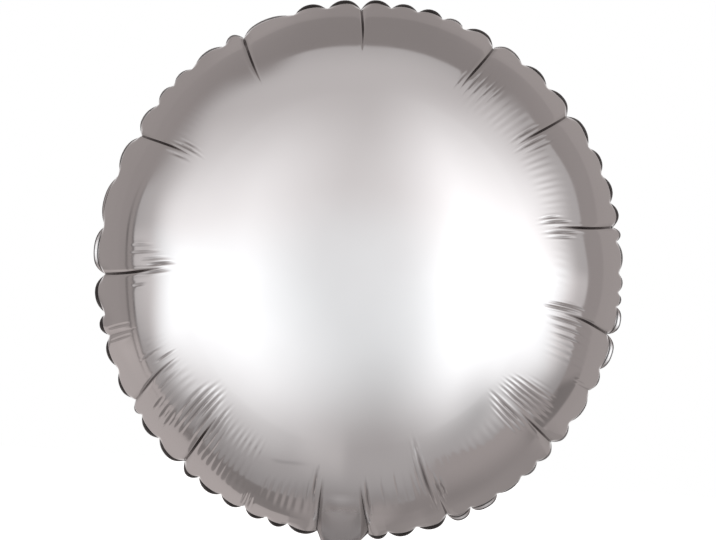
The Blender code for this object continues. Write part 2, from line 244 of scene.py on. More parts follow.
# The camera
PHOTO_WIDTH, PHOTO_HEIGHT = 716, 540  # pixels
CENTRE_X, CENTRE_Y = 359.5, 268.5  # the envelope's middle in the photograph, in pixels
PIXEL_SIZE = 0.0006805  # metres for each pixel at the seam's plane
CAMERA_DISTANCE = 2.0
CAMERA_ROLL = math.radians(-4.2)  # the neck points a little to the left
SENSOR_WIDTH = 36.0  # millimetres
FLOOR_DROP = 1.1  # from the balloon's middle to the floor
FLOOR_RADIUS = 14.0

# The studio's lights, as brightness
TENT = 0.67  # the light tent near the camera
CEILING = 0.53
GROUND = 0.40
TENT_SIDES = 0.80  # share that is left at its sides
LEFT_LIGHT = 0.66
RIGHT_LIGHT = 1.15
PALE_PATCH = 0.08  # low in the tent
BAR_SHADE = 0.22  # of a thin bar low in the tent
BAR_DROP = 0.605
ROOM = 0.235  # behind the balloon
ROOM_SIDES = 0.052
FAR_ROOM = 0.035
DARK_FLOOR = 0.05
RIGHT_DIP = 0.10  # a dark place low on the right
CORNER_TONES = (0.085, -0.02)  # the low right corner beside it, near and far
UNDER_NECK = 0.08
PALE_SCREEN = 0.16  # behind on the left, low down
BACK_TENT = 0.26  # a second tent, straight behind the balloon
BACK_WALL = 0.34  # and its two soft lights
STAND_SHADE = 0.50
WHITE = (0.986, 1.0, 1.012)
WARM_GREY = (1.045, 0.985, 0.98)
ROOM_GREY = (1.09, 0.98, 0.955)

# A soft light: the places across where it comes and goes, its middle's height, and where it fades from there
LEFT_BOX = ((-0.11, 0.21), (0.46, 0.78), -0.10, (-0.05, 0.58))
RIGHT_BOX = ((-0.03, 0.17), (0.38, 0.88), 0.0, (-0.24, 0.59))
BACK_BOX = ((-0.06, 0.10), (0.16, 0.34), 0.0, (0.04, 0.34))
LEFT_LEAN, RIGHT_LEAN = 0.10, 0.26  # how far the lights lean outwards below the camera
EDGE_PLACE = 0.045  # how far behind the balloon's middle the tent ends
SHARP_EDGE, BLURRED_EDGE = (-0.025, 0.02), (-0.40, 0.14)
STANDS = ((0.05, 0.032), (0.195, 0.030))  # how far back each of two stands is, and half its width
NEARLY_ZERO = 0.001


def ramp(value, start, end):
    """0 before start, 1 after end, and smooth in between."""
    share = np.clip((value - start) / (end - start), 0.0, 1.0)
    return share * share * (3.0 - 2.0 * share)


# The form of the foil


def section_table():
    """The blown-up section from the crown to the seam: length along the foil, radius and height."""
    share = np.sin(np.linspace(0.0, math.pi / 2.0, SECTION_STEPS))[:-1]
    radius = FORM_RADIUS * share
    height = HALF_DEPTH * (1.0 - share**CROWN_POWER) ** CROWN_SHAPE
    kept = np.gradient(height, radius) > -STEEPEST
    kept[0] = True
    radius, height = radius[kept], height[kept]
    radius = np.append(radius, radius[-1] + height[-1] / STEEPEST)
    height = np.append(height, 0.0)
    length = np.concatenate(([0.0], np.cumsum(np.hypot(np.diff(radius), np.diff(height)))))
    return length, radius, height


LENGTH, RADIUS, HEIGHT = section_table()
FOIL_LENGTH = LENGTH[-1]
SEAM_RADIUS = RADIUS[-1]
RIM_ANGLES = np.array([crease.rim for crease in CREASES])
LOBE_ANGLES = np.array([crease.rim for i, crease in enumerate(CREASES) if i not in SHALLOW])
NOTCHES = np.array([angle for crease in CREASES for angle in (crease.rim, *crease.notches)])
BAND_KINDS = "".join(crease.lies for crease in CREASES)
DRAWS = np.random.default_rng(11)
NOTCH_VARY = DRAWS.uniform(0.75, 1.25, len(NOTCHES))
SEAM_VARY = DRAWS.uniform(-0.0007, 0.0007, len(NOTCHES))


def section_at(length):
    """Radius and height of the section at a length along the foil."""
    return float(np.interp(length, LENGTH, RADIUS)), float(np.interp(length, LENGTH, HEIGHT))


def outwards(length, flat):
    """The way in which the foil swells at a length, as radius and height: straight out where flat is 0."""
    near, far = section_at(max(length - PROBE, 0.0)), section_at(min(length + PROBE, FOIL_LENGTH))
    along = Vector((far[0] - near[0], far[1] - near[1])).normalized()
    return -along.y * flat + 1.0 - flat, along.x * flat


def rim_columns():
    """Angles of the columns from the first crease to the last, close together at creases and folds."""
    first, last = RIM_ANGLES[0], RIM_ANGLES[-1]
    wished = [*np.arange(first, last, COLUMN_STEP), last]
    for begin, end, *_ in FANS:
        wished += list(np.arange(begin, end, FAN_STEP))
    for rim in RIM_ANGLES:
        wished += [rim + hand * step for step in NEAR_CREASE for hand in (-1.0, 1.0)]
    for angle, *_ in FOLDS:
        wished += [angle + hand * step for step in (0.0, *NEAR_FOLD) for hand in (-1.0, 1.0)]
    fixed = np.unique(np.round(np.concatenate((NOTCHES, [fold[0] for fold in FOLDS])), 4))
    fixed = fixed[(fixed >= first) & (fixed <= last)]
    kept = [first]
    for angle in sorted(wished):
        near = np.min(np.abs(RIM_ANGLES - angle))
        room = next(room for limit, room in COLUMN_ROOM if near < limit)
        if first < angle < last and angle - kept[-1] > room and np.min(np.abs(fixed - angle)) > room:
            kept.append(angle)
    return np.unique(np.concatenate((kept, fixed)))


def among(angles, turned):
    """Which angle each column comes after, the width up to the next, and the share of the way there."""
    index = np.clip(np.searchsorted(angles, turned, side="right") - 1, 0, len(angles) - 1)
    width = np.diff(np.append(angles, angles[0] + 360.0))[index]
    return index, width, (turned - angles[index]) / width


class Columns:
    """The columns of a panel, the neck's last, and how each one lies to the creases and the scallops."""

    def __init__(self):
        rim = rim_columns()
        count = NECK_COLUMNS + (-(len(rim) + NECK_COLUMNS)) % COARSE
        shares = np.linspace(0.0, 1.0, count)
        span = RIM_ANGLES[0] + 360.0 - RIM_ANGLES[-1]
        neck = RIM_ANGLES[-1] + span * (NECK_MARGIN + (1.0 - 2.0 * NECK_MARGIN) * shares)
        self.angle = np.concatenate((rim, neck))
        self.neck_share = np.concatenate((np.full(len(rim), -1.0), shares))
        self.on_neck = self.neck_share >= 0.0
        turned = self.angle % 360.0
        turned = np.where(turned < RIM_ANGLES[0], turned + 360.0, turned)
        self.before, _, self.across = among(RIM_ANGLES, turned)
        lobe, _, share = among(LOBE_ANGLES, turned)
        self.swell = np.sin(math.pi * share)
        self.swollen = np.array(LOBE_SWELL)[lobe] * self.swell**2
        self.scallop, self.scallop_width, share = among(NOTCHES, turned)
        self.place = np.where(self.on_neck, 0.0, 2.0 * share - 1.0)
        to_neck = np.minimum(turned - RIM_ANGLES[0], RIM_ANGLES[-1] - turned)
        self.clear_of_neck = 1.0 - NOTCH_CALM * np.exp(-((to_neck / NOTCH_CALM_SPAN) ** 2))

    def arc_from(self, angle, step):
        """How far each column is from an angle along a ring, where a step is the length of one degree."""
        return np.abs(((self.angle - angle + 180.0) % 360.0) - 180.0) * step

    def lean(self, radius):
        """How far each column has turned, in degrees, at a radius: a column near a crease keeps beside it."""
        turned = []
        for index in (self.before, (self.before + 1) % len(CREASES)):
            rim, inner, bow, reach = np.array([crease[:4] for crease in CREASES])[index].T
            along = ramp(radius, reach * LEAN_FROM, SEAM_RADIUS)
            turned.append((inner - rim) * (1.0 - along) + bow * 4.0 * along * (1.0 - along))
        return turned[0] * (1.0 - self.across) + turned[1] * self.across

    def sway(self):
        """How far the seam waves to the back of the middle plane."""
        wave = (SEAM_WAVE + SEAM_VARY[self.scallop]) * (1.0 - self.place**2)
        return np.where(self.on_neck, 0.0, wave)

    def bulge(self, radius):
        """How far the foil swells between the creases at a radius."""
        growing = float(ramp(radius, *LOBE_RADII) * (1.0 - LOBE_CALM * ramp(radius, *CALM_RADII)))
        return LOBE_BULGE * self.swollen * growing + RIM_BULGE * self.swell * float(ramp(radius, *RIM_RADII))

    def notch_depth(self, to_seam):
        """How far the notches between the scallops draw the foil in, at a length before the seam."""
        pleat = (1.0 - min(to_seam / NOTCH_REACH, 1.0)) ** 1.25
        notch = NOTCH_DEPTH * np.clip(self.scallop_width / USUAL_SCALLOP, *SCALLOP_LIMITS)
        notch = notch * NOTCH_VARY[self.scallop] * np.abs(self.place) ** 2.2
        return np.where(self.on_neck, 0.0, notch * pleat * self.clear_of_neck)

    def crease_depth(self, radius, step):
        """Depth of the creases' shoulders and of their sharp bottoms at one ring, and the shade painted in
        them.
        """
        depth, crack, dark = (np.zeros(len(self.angle)) for _ in range(3))
        for crease in CREASES:
            reach = crease.reach
            if radius < reach * CREASE_FROM:
                continue
            arc = self.arc_from(crease.rim, step)
            out = np.clip((radius - reach) / (SEAM_RADIUS - reach), 0.0, 1.0)
            wide = SHOULDER_INNER + (SHOULDER_RIM - SHOULDER_INNER) * out**1.6
            depth += SHOULDER_SHARE * crease.shoulder * out**1.8 * np.clip(1.0 - arc / wide, 0.0, 1.0) ** 2
            sharp = crease.slot * ramp(radius, reach, reach + SLOT_DEEPENS)
            half = SLOT_HALF * (0.5 + 0.5 * ramp(radius, reach, reach + SLOT_WIDENS))
            crack += sharp * np.clip(1.0 - arc / half, 0.0, 1.0) ** 1.6
            depth -= SLOT_LIP * sharp * np.exp(-(((arc - 2.0 * half) / half) ** 2)) * (1.0 - out**4)
            # Painted shade along the crease's sharp bottom
            deep = min(1.0, crease.slot / DARK_SLOT) * float(ramp(radius - reach, *SHADE_LENGTHS))
            dark = np.maximum(dark, SLOT_SHADE * deep * ramp(arc / half, *SHADE_WIDTHS))
            # Painted shade where the crease meets the rim
            dark = np.maximum(dark, RIM_CREASE_SHADE * out**3 * np.clip(1.0 - arc / (RIM_CREASE_SHADE_WIDTH * wide), 0.0, 1.0))
        return depth, crack, dark

    def fold_depth(self, radius, step):
        """Depth of the fine folds at one ring, and the shade painted in them."""
        depth, dark = np.zeros(len(self.angle)), np.zeros(len(self.angle))
        for angle, outer, inner, deep in FOLDS:
            here = ramp(radius, inner, inner + 0.5 * (outer - inner) + 0.002)
            here = here * (1.0 - ramp(radius, outer - 0.45 * (outer - inner), outer))
            if here <= 0.0:
                continue
            arc = self.arc_from(angle, step)
            half = FOLD_HALF * (FOLD_SLIM + FOLD_WIDENS * deep)
            bold = FOLD_BOLDNESS * deep * here
            depth += bold * np.exp(-((arc / half) ** 2))
            depth -= FOLD_LIP * bold * np.exp(-(((arc - 1.9 * half) / half) ** 2))
            # Painted shade along each fold
            shade = min(FOLD_SHADE, deep / DARK_FOLD) * here
            dark = np.maximum(dark, shade * np.exp(-((arc / (0.50 * half)) ** 2)))
        return depth, dark

    def fan_height(self, radius, shift):
        """Height of the fine, uneven wrinkles at one ring, shift degrees round from their places."""
        height = np.zeros(len(self.angle))
        for first, last, inner, outer, spacing, tall in FANS:
            here = ramp(radius, inner, inner + FAN_STARTS) * (1.0 - ramp(radius, outer - FAN_STOPS, outer))
            if here <= 0.0:
                continue
            place = (self.angle - first - shift) % 360.0
            span = last - first
            window = ramp(place, 0.0, span * FAN_SIDES) * (1.0 - ramp(place, span * (1.0 - FAN_SIDES), span))
            phase = 2.0 * math.pi * place / spacing + 0.5 * np.sin(place * 0.9)
            wave = np.sin(phase + 0.3 * np.sin(radius * 90.0 + place * 0.35))
            height += FAN_BOLDNESS * tall * here * window * wave
        return height

    def rim_shade(self, radius, to_seam):
        """The shade painted beside the seam, and on the neck the shade painted on its gathers and its sides.
        """
        # Painted shade beside the seam
        seam = sum(dark * math.exp(-to_seam / reach) for dark, reach in RIM_SHADES)
        aside = np.abs(2.0 * self.neck_share - 1.0)
        sides = sum(dark * aside**power for dark, power in NECK_EDGES) * ramp(radius, NECK_START, SEAM_RADIUS)
        # Painted shade over the neck's gathers
        neck_gather_shade = sum(dark * ramp(radius, start, end) for dark, start, end in NECK_SHADES)
        return np.where(self.on_neck, np.maximum(sides, neck_gather_shade), seam)

    def lead_to_neck(self, points, lifted, length, side):
        """Turns the neck's columns from the envelope's form to the neck's, as a round lobe."""
        shares = np.clip(self.neck_share, 0.0, 1.0)
        neck = neck_section(np.full(len(shares), NECK_TOP), shares, side)
        begins = float(np.interp(NECK_START, RADIUS, LENGTH))
        leave = max(length - begins, 0.0) / (FOIL_LENGTH - begins)
        inside = np.sin(math.pi * shares)
        mix = np.where(self.on_neck, leave ** (1.8 - 0.7 * inside), 0.0)[:, None]
        points = points * (1.0 - mix) + neck * mix
        rise = np.clip(points[:, 2] - NECK_TOP, 0.0, None)
        deep = float(np.max(np.abs(neck[:, 1]))) - FILM_GAP
        fallen, straight = lifted * (1.0 - leave) + deep * leave, deep + NECK_SLOPE * rise
        ridge = 0.5 * (fallen + straight + np.hypot(fallen - straight, NECK_RIDGE * (1.0 - leave)))
        share = inside * float(ramp(leave, 0.0, 0.3))
        rounded = side * (FILM_GAP * leave + lifted * (1.0 - share) + ridge * share)
        points[:, 1] = np.where(self.on_neck, rounded, points[:, 1])
        return points

    def ring(self, length_share, side):
        """One ring, at a share of the way from the crown to the seam: its points and their painted shades."""
        length = FOIL_LENGTH * length_share
        to_seam = FOIL_LENGTH - length
        radius, height = section_at(length)
        flat = float(ramp(to_seam, 0.0, RIM_FLAT))
        out_r, out_y = outwards(length, flat)
        step = math.radians(1.0) * max(radius, NEARLY_ZERO)
        folds, fold_dark = self.fold_depth(radius, step)
        fine = self.fan_height(radius, 0.0 if side < 0 else BACK_SHIFT) - folds
        shoulders, crack, dark = self.crease_depth(radius, step)
        # Painted shade from the creases, the folds, the seam and the neck
        shade = np.maximum(np.maximum(dark, fold_dark), self.rim_shade(radius, to_seam))
        move = (self.bulge(radius) + fine) * flat - shoulders - self.notch_depth(to_seam)
        turned = np.radians(self.angle + self.lean(radius))
        low = SAGGING * np.cos(turned) * (radius / SEAM_RADIUS) ** 2
        grown = (radius + out_r * move) * (1.0 + TALLER * np.cos(2.0 * turned)) + low
        lifted = np.maximum(height + out_y * move - np.minimum(crack * flat, 0.7 * height), 0.0)
        depth = side * lifted + self.sway() * math.exp(-to_seam / WAVE_REACH)
        points = np.stack((-grown * np.sin(turned), depth, -grown * np.cos(turned)), axis=-1)
        return self.lead_to_neck(points, lifted, length, side), shade


def neck_section(level_z, share, side):
    """Points of the neck or the tail. Share runs from right to left, and side is -1 at the front."""
    down = np.clip((NECK_TOP - level_z) / (NECK_TOP - FOLD_Z), 0.0, None)
    flat = ramp(down, 0.0, 1.05)
    half = NECK_HALF + (TAIL_PLY_HALF - NECK_HALF) * flat
    depth = NECK_DEPTH * np.exp(-1.6 * down) * (1.0 - ramp(down, 0.4, 1.0)) + TAIL_PUFF * flat
    place = np.cos(math.pi * share) * (1.0 - flat) + (1.0 - 2.0 * share) * flat
    swell = np.sqrt(np.clip(1.0 - place**2, 0.0, 1.0)) * (1.0 - flat) + np.sin(math.pi * share) ** 0.7 * flat
    waves = np.sin(4.3 * place + 210.0 * level_z) + 0.6 * np.sin(9.0 * place - 330.0 * level_z + 1.0)
    waves = waves + 0.35 * np.sin(13.0 * place + 95.0 * level_z + 2.2 * np.sin(140.0 * level_z))
    crumple = CRUMPLE * flat * np.sin(math.pi * share) * waves * ramp(down, 0.15, 0.6)
    height = FILM_GAP + np.maximum(depth * swell + crumple, 0.0)
    return np.stack((half * place, side * height, np.broadcast_to(level_z, place.shape)), axis=-1)


COLUMNS = Columns()


def joined(inside, outside):
    """Faces between two rings, where the outer one may have several corners for each inner one."""
    count, times = len(inside), len(outside) // len(inside)
    faces = []
    for i in range(count):
        a, b = inside[i], inside[(i + 1) % count]
        own = [outside[(times * i + k) % len(outside)] for k in range(times + 1)]
        if times == 1:
            faces.append((a, own[0], own[1], b))
            continue
        middle = times // 2
        faces += [(a, own[k], own[k + 1]) for k in range(middle)]
        faces.append((a, own[middle], b))
        faces += [(b, own[k], own[k + 1]) for k in range(middle, times)]
    return faces


def panel_rings(side):
    """The rings of a panel from near the crown to the seam: the points and the painted shades of each."""
    every = np.arange(len(COLUMNS.angle))
    inner = [(FINE_FROM * (i + 1) / (INNER_RINGS + 1), every[::COARSE]) for i in range(INNER_RINGS)]
    steps = 1.0 - (1.0 - np.linspace(0.0, 1.0, OUTER_RINGS + 1)) ** 1.3
    rings = []
    for share, kept in inner + [(FINE_FROM + (1.0 - FINE_FROM) * step, every) for step in steps]:
        points, shades = COLUMNS.ring(float(share), side)
        rings.append((points[kept], shades[kept]))
    return rings


def neck_levels():
    """Heights of the rows down the neck and the tail."""
    return NECK_TOP + (TAIL_END - NECK_TOP) * np.linspace(0.0, 1.0, NECK_ROWS + 1)[1:]


def neck_rows(side, thumb):
    """The rows down the neck and the tail, which end in the thumb notch where thumb is true."""
    shares = COLUMNS.neck_share[COLUMNS.on_neck]
    place = 1.0 - 2.0 * shares
    notch = thumb * np.sqrt(np.clip(THUMB_NOTCH**2 - (place * TAIL_PLY_HALF) ** 2, 0.0, None))
    rows = []
    for level in neck_levels():
        z = level + notch * ramp(NECK_TOP - level, NECK_TOP - FOLD_Z, NECK_TOP - TAIL_END)
        # Painted shade on the neck's sides and down to the fold
        shades = np.maximum(NECK_EDGES[0][0] * place**2, NECK_SHADE * ramp(level, FOLD_Z, NECK_TOP))
        rows.append((neck_section(z, shares, side), shades))
    return rows


def new_piece(name, points, faces, tone, tones):
    """An object with a mesh, and on each corner a tone that its material reads."""
    mesh = bpy.data.meshes.new(name)
    mesh.from_pydata(points, [], faces)
    mesh.validate()
    mesh.attributes.new(tone, "FLOAT", "POINT").data.foreach_set("value", tones)
    made = bpy.data.objects.new(name, mesh)
    bpy.context.scene.collection.objects.link(made)
    return made


def foil_sheet(name, side, thumb):
    """One panel of foil with its half of the neck and its ply of the tail, as one sheet."""
    crown = (np.array([[0.0, side * HALF_DEPTH, 0.0]]), np.zeros(1))
    rows = [crown, *panel_rings(side), *neck_rows(side, thumb)]
    corners, start = [], 0
    for points, _ in rows:
        corners.append(list(range(start, start + len(points))))
        start += len(points)
    rings, strips = corners[1:-NECK_ROWS], corners[-NECK_ROWS:]
    first = rings[0]
    faces = [(0, first[i], first[(i + 1) % len(first)]) for i in range(len(first))]
    for ring, following in zip(rings, rings[1:]):
        faces += joined(ring, following)
    row = [rings[-1][i] for i in np.nonzero(COLUMNS.on_neck)[0]]
    for following in strips:
        faces += [(row[i], following[i], following[i + 1], row[i + 1]) for i in range(len(row) - 1)]
        row = following
    if side > 0:
        faces = [face[::-1] for face in faces]
    points, shades = (np.concatenate(parts) for parts in zip(*rows))
    # Each corner carries the shade painted on it, which the foil's material reads
    made = new_piece(name, points.tolist(), faces, "shade", shades.astype(np.float32))
    made.data.shade_smooth()
    return made


def band_lie(kind, middle):
    """Tilt, width and brightness of the sealed edge at a share of the way to a scallop's middle; low
    brightness is painted shade.
    """
    tilt, width, bright = BAND_LIES[kind]
    middle = middle**0.8
    return (
        math.radians(NOTCH_TILT + (tilt - NOTCH_TILT) * middle),
        BAND_WIDTH * (1.0 + (width - 1.0) * middle),
        NOTCH_TONE + (bright - NOTCH_TONE) * min(1.0, 2.0 * middle),
    )


def band_beside_neck(share, hand):
    """The sealed edge's path down one side of the neck and the tail, with the tail's round corner."""
    line = []
    for level in (NECK_TOP, *neck_levels()):
        x, _, z = neck_section(np.array([level]), np.array([share]), -1.0)[0]
        tilt = math.radians(NECK_TILT) * (1.0 - float(ramp(NECK_TOP - level, *NECK_TILT_DROPS)))
        above = max(TAIL_CORNER - (z - TAIL_END), 0.0)
        round_edge = TAIL_HALF - TAIL_CORNER + math.sqrt(TAIL_CORNER**2 - above**2)
        width = min(BAND_WIDTH, max(round_edge - abs(x), LEAST_EDGE))
        line.append((Vector((x, 0.0, z)), Vector((hand, 0.0, 0.0)), tilt, width, NECK_EDGE_TONE, False))
    return line


def band_path():
    """The seam round the envelope and down both sides of the neck and the tail."""
    seam, _ = COLUMNS.ring(1.0, -1.0)
    sway = COLUMNS.sway()
    path = band_beside_neck(1.0, -1.0)[::-1]
    for i in np.nonzero(~COLUMNS.on_neck)[0]:
        turn = math.radians(COLUMNS.angle[i])
        out = Vector((-math.sin(turn), 0.0, -math.cos(turn)))
        kind = BAND_KINDS[COLUMNS.scallop[i]]
        tilt, width, bright = band_lie(kind, 1.0 - COLUMNS.place[i] ** 2)
        path.append((Vector((seam[i][0], sway[i], seam[i][2])), out, tilt, width, bright, kind in PALE_LIES))
    return path + band_beside_neck(0.0, 1.0)


def band_tone(front, share, bright, pale):
    """How bright a corner of the sealed edge is painted, dark where shade is painted. A pale flap keeps a
    dark outline.
    """
    if front > 0 and 0.0 < share < 1.0:
        return BAND_REAR_TONE
    if pale and (share > 0.75 or share == 0.0):
        return FLAP_RIM_TONE
    return bright


def sealed_band():
    """The heat-sealed edge, a thin strip that waves with the scallops."""
    points, faces, tones = [], [], []
    back = Vector((0.0, 1.0, 0.0))
    for point, out, tilt, width, bright, pale in band_path():
        for front in (-1.0, 1.0):
            for share in BAND_ACROSS if front < 0 else BAND_ACROSS[::-1]:
                bend = tilt * (0.9 + 0.1 * share)
                go = out * math.cos(bend) + back * math.sin(bend)
                normal = back * math.cos(bend) - out * math.sin(bend)
                points.append(point + go * (width * share) + normal * (front * BAND_HALF))
                tones.append(band_tone(front, share, bright, pale))
    size = 2 * len(BAND_ACROSS)
    count = len(points) // size
    for i in range(count - 1):
        for k in range(size):
            a, b = i * size + k, i * size + (k + 1) % size
            faces.append((a, b, b + size, a + size))
    faces.append(tuple(range(size))[::-1])
    faces.append(tuple(range((count - 1) * size, count * size)))
    made = new_piece("sealed_edge", [tuple(point) for point in points], faces, "bright", tones)
    bpy.context.view_layer.objects.active = made
    bpy.ops.object.select_all(action="DESELECT")
    made.select_set(True)
    bpy.ops.object.mode_set(mode="EDIT")
    bpy.ops.mesh.select_all(action="SELECT")
    bpy.ops.mesh.normals_make_consistent(inside=False)
    bpy.ops.object.mode_set(mode="OBJECT")
    bpy.ops.object.shade_smooth_by_angle(angle=math.radians(40.0))
    return made


# Arithmetic in node trees


def put(tree, value, socket):
    """Gives a socket a plain value, or links it to what works the value out."""
    value = value.socket if isinstance(value, Number) else value
    if isinstance(value, bpy.types.NodeSocket):
        tree.links.new(value, socket)
    else:
        socket.default_value = value


def calc(tree, operation, *values):
    """One step of arithmetic on plain numbers and a node tree's own."""
    node = tree.nodes.new("ShaderNodeMath")
    node.operation = operation
    for socket, value in zip(node.inputs, values):
        put(tree, value, socket)
    return Number(tree, node.outputs["Value"])


class Number:
    """A number that a node tree works out, on which arithmetic can be done as on a plain one."""

    def __init__(self, tree, socket):
        self.tree, self.socket = tree, socket

    def __add__(self, other):
        return calc(self.tree, "ADD", self, other)

    def __sub__(self, other):
        return calc(self.tree, "SUBTRACT", self, other)

    def __rsub__(self, other):
        return calc(self.tree, "SUBTRACT", other, self)

    def __mul__(self, other):
        return calc(self.tree, "MULTIPLY", self, other)

    def __truediv__(self, other):
        return calc(self.tree, "DIVIDE", self, other)

    def __neg__(self):
        return self * -1.0

    def __abs__(self):
        return calc(self.tree, "ABSOLUTE", self)

    __radd__ = __add__

    def at_least(self, other):
        return calc(self.tree, "MAXIMUM", self, other)

    def at_most(self, other):
        return calc(self.tree, "MINIMUM", self, other)

    def mapped(self, kind, start, end, low, high):
        """Goes from low at start to high at end, evenly or smoothly as the kind says."""
        node = self.tree.nodes.new("ShaderNodeMapRange")
        node.interpolation_type = kind
        for name, value in (("From Min", start), ("From Max", end), ("To Min", low), ("To Max", high)):
            node.inputs[name].default_value = value
        put(self.tree, self, node.inputs["Value"])
        return Number(self.tree, node.outputs["Result"])

    def fade(self, start, end, low=0.0, high=1.0):
        """Goes smoothly from low at start to high at end."""
        return self.mapped("SMOOTHSTEP", start, end, low, high)

    def fall(self, start, end):
        """Goes smoothly from 1 at start to 0 at end."""
        return self.fade(start, end, 1.0, 0.0)


def length_of(tree, across, up):
    """How long a line is that goes so far across and so far up."""
    return calc(tree, "SQRT", calc(tree, "POWER", across, 2.0) + calc(tree, "POWER", up, 2.0))


def split(tree, place):
    """The three coordinates of a place or a direction."""
    apart = tree.nodes.new("ShaderNodeSeparateXYZ")
    tree.links.new(place, apart.inputs[0])
    return [Number(tree, socket) for socket in apart.outputs]


def blended(tree, share, first, second):
    """A colour that goes from the first to the second with a share."""
    node = tree.nodes.new("ShaderNodeMix")
    node.data_type = "RGBA"
    for socket, value in ((0, share), (6, first), (7, second)):
        put(tree, (*value, 1.0) if isinstance(value, tuple) else value, node.inputs[socket])
    return node.outputs[2]


def either(tree, share, first, second):
    """Shows the first shader where the share is 0 and the second where it is 1."""
    node = tree.nodes.new("ShaderNodeMixShader")
    for socket, value in zip(node.inputs, (share, first, second)):
        tree.links.new(value, socket)
    return node.outputs["Shader"]


# Materials


def new_material(name):
    """A material with its node tree, its shader and the place on the piece."""
    made = bpy.data.materials.new(name)
    made.use_nodes = True
    tree = made.node_tree
    return made, tree, tree.nodes["Principled BSDF"], tree.nodes.new("ShaderNodeTexCoord").outputs["Object"]


def finish_surface(tree, shader, colour, rough):
    """Gives a shader the colour and the roughness that vary over a surface."""
    put(tree, colour, shader.inputs["Base Color"])
    put(tree, rough, shader.inputs["Roughness"])


def noise(tree, place, scale, detail):
    """Even clouds, from about 0.3 to 0.7."""
    node = tree.nodes.new("ShaderNodeTexNoise")
    node.inputs["Scale"].default_value = scale
    node.inputs["Detail"].default_value = detail
    tree.links.new(place, node.inputs["Vector"])
    return Number(tree, node.outputs["Fac"])


def uneven(tree, place, scale, low, high):
    """Clouds between low and high."""
    return noise(tree, place, scale, 2.0).mapped("LINEAR", 0.3, 0.7, low, high)


def tinted(tree, value, dark, pale):
    """A colour between two, by a value from 0 to 1."""
    node = tree.nodes.new("ShaderNodeValToRGB")
    for element, colour in zip(node.color_ramp.elements, (dark, pale)):
        element.color = (*colour, 1.0)
    put(tree, value, node.inputs["Fac"])
    return node.outputs["Color"]


def tone_of(tree, name):
    """The tone that the piece has on its corners."""
    node = tree.nodes.new("ShaderNodeAttribute")
    node.attribute_name = name
    return Number(tree, node.outputs["Fac"])


def roughen(tree, shader, height, strength, distance):
    """Fine relief on a surface."""
    bump = tree.nodes.new("ShaderNodeBump")
    bump.inputs["Strength"].default_value = strength
    bump.inputs["Distance"].default_value = distance
    put(tree, height, bump.inputs["Height"])
    tree.links.new(bump.outputs["Normal"], shader.inputs["Normal"])


def satin_foil():
    """Metallised film with a satin finish: a soft mirror with faint clouds in it and a very fine grain, with
    painted shade.
    """
    made, tree, shader, place = new_material("satin foil")
    shader.inputs["Metallic"].default_value = 1.0
    clouds = tinted(tree, noise(tree, place, scale=22.0, detail=3.0), CLOUD_DARK, CLOUD_PALE)
    # Painted shade darkens the clouds towards one colour in the creases, folds, seam and neck
    colour = blended(tree, tone_of(tree, "shade"), clouds, PAINTED_SHADE_COLOUR)
    x, _, z = split(tree, place)
    gathered = z.fade(FOLD_Z, FOLD_Z + GATHERED_FOOT) * z.fall(*GATHERED_TOP) * abs(x).fall(*GATHERED_SIDE)
    rough = uneven(tree, place, scale=60.0, low=0.08, high=0.12) + gathered * GATHERED_ROUGH
    finish_surface(tree, shader, colour, rough)
    roughen(tree, shader, noise(tree, place, scale=55.0, detail=2.0), strength=0.05, distance=0.0004)
    return made


def sealed_foil():
    """The film where heat has joined the panels: duller and finely pitted, with shade painted where it turns
    away.
    """
    made, tree, shader, place = new_material("heat-sealed foil")
    shader.inputs["Metallic"].default_value = 1.0
    # Painted shade on the flaps that turn away, by each corner's brightness
    colour = tinted(tree, tone_of(tree, "bright"), dark=(0.03, 0.027, 0.027), pale=(0.90, 0.89, 0.89))
    finish_surface(tree, shader, colour, uneven(tree, place, scale=240.0, low=0.20, high=0.34))
    press = tree.nodes.new("ShaderNodeTexVoronoi")
    press.inputs["Scale"].default_value = 900.0
    tree.links.new(place, press.inputs["Vector"])
    roughen(tree, shader, press.outputs["Distance"], strength=0.25, distance=0.0002)
    return made


def milky_film():
    """The valve's two inner films: thin clear plastic, a little milky and cockled."""
    made, tree, shader, place = new_material("milky film")
    clouds = noise(tree, place, scale=140.0, detail=3.0)
    colour = tinted(tree, clouds, dark=(0.66, 0.67, 0.68), pale=(0.86, 0.87, 0.88))
    finish_surface(tree, shader, colour, uneven(tree, place, scale=90.0, low=0.16, high=0.30))
    shader.inputs["Transmission Weight"].default_value = 0.35
    roughen(tree, shader, noise(tree, place, scale=130.0, detail=2.0), strength=0.35, distance=0.0006)
    return made


def pale_floor():
    """Matt white paper, far below the hanging balloon, and clear from below."""
    made, tree, shader, place = new_material("pale paper")
    clouds = noise(tree, place, scale=3.0, detail=4.0)
    colour = tinted(tree, clouds, dark=(0.60, 0.60, 0.60), pale=(0.64, 0.64, 0.64))
    finish_surface(tree, shader, colour, rough=0.9)
    shader.inputs["Emission Color"].default_value = (1.0, 1.0, 1.0, 1.0)
    shader.inputs["Emission Strength"].default_value = 1.0
    clear = tree.nodes.new("ShaderNodeBsdfTransparent")
    from_below = tree.nodes.new("ShaderNodeNewGeometry").outputs["Backfacing"]
    sides = either(tree, from_below, shader.outputs["BSDF"], clear.outputs["BSDF"])
    tree.links.new(sides, tree.nodes["Material Output"].inputs["Surface"])
    return made


# The studio


def stand_floor():
    """A wide plain floor, clear from below. The foil mirrors the tent and the room instead of it."""
    bpy.ops.object.select_all(action="DESELECT")
    bpy.ops.mesh.primitive_circle_add(
        vertices=96, radius=FLOOR_RADIUS, fill_type="NGON", location=(0.0, 0.0, -FLOOR_DROP))
    floor = bpy.context.object
    floor.name = floor.data.name = "floor"
    bpy.ops.object.transform_apply(location=True, rotation=True, scale=True)
    floor.data.materials.append(pale_floor())
    floor.visible_glossy = False
    floor.visible_diffuse = False


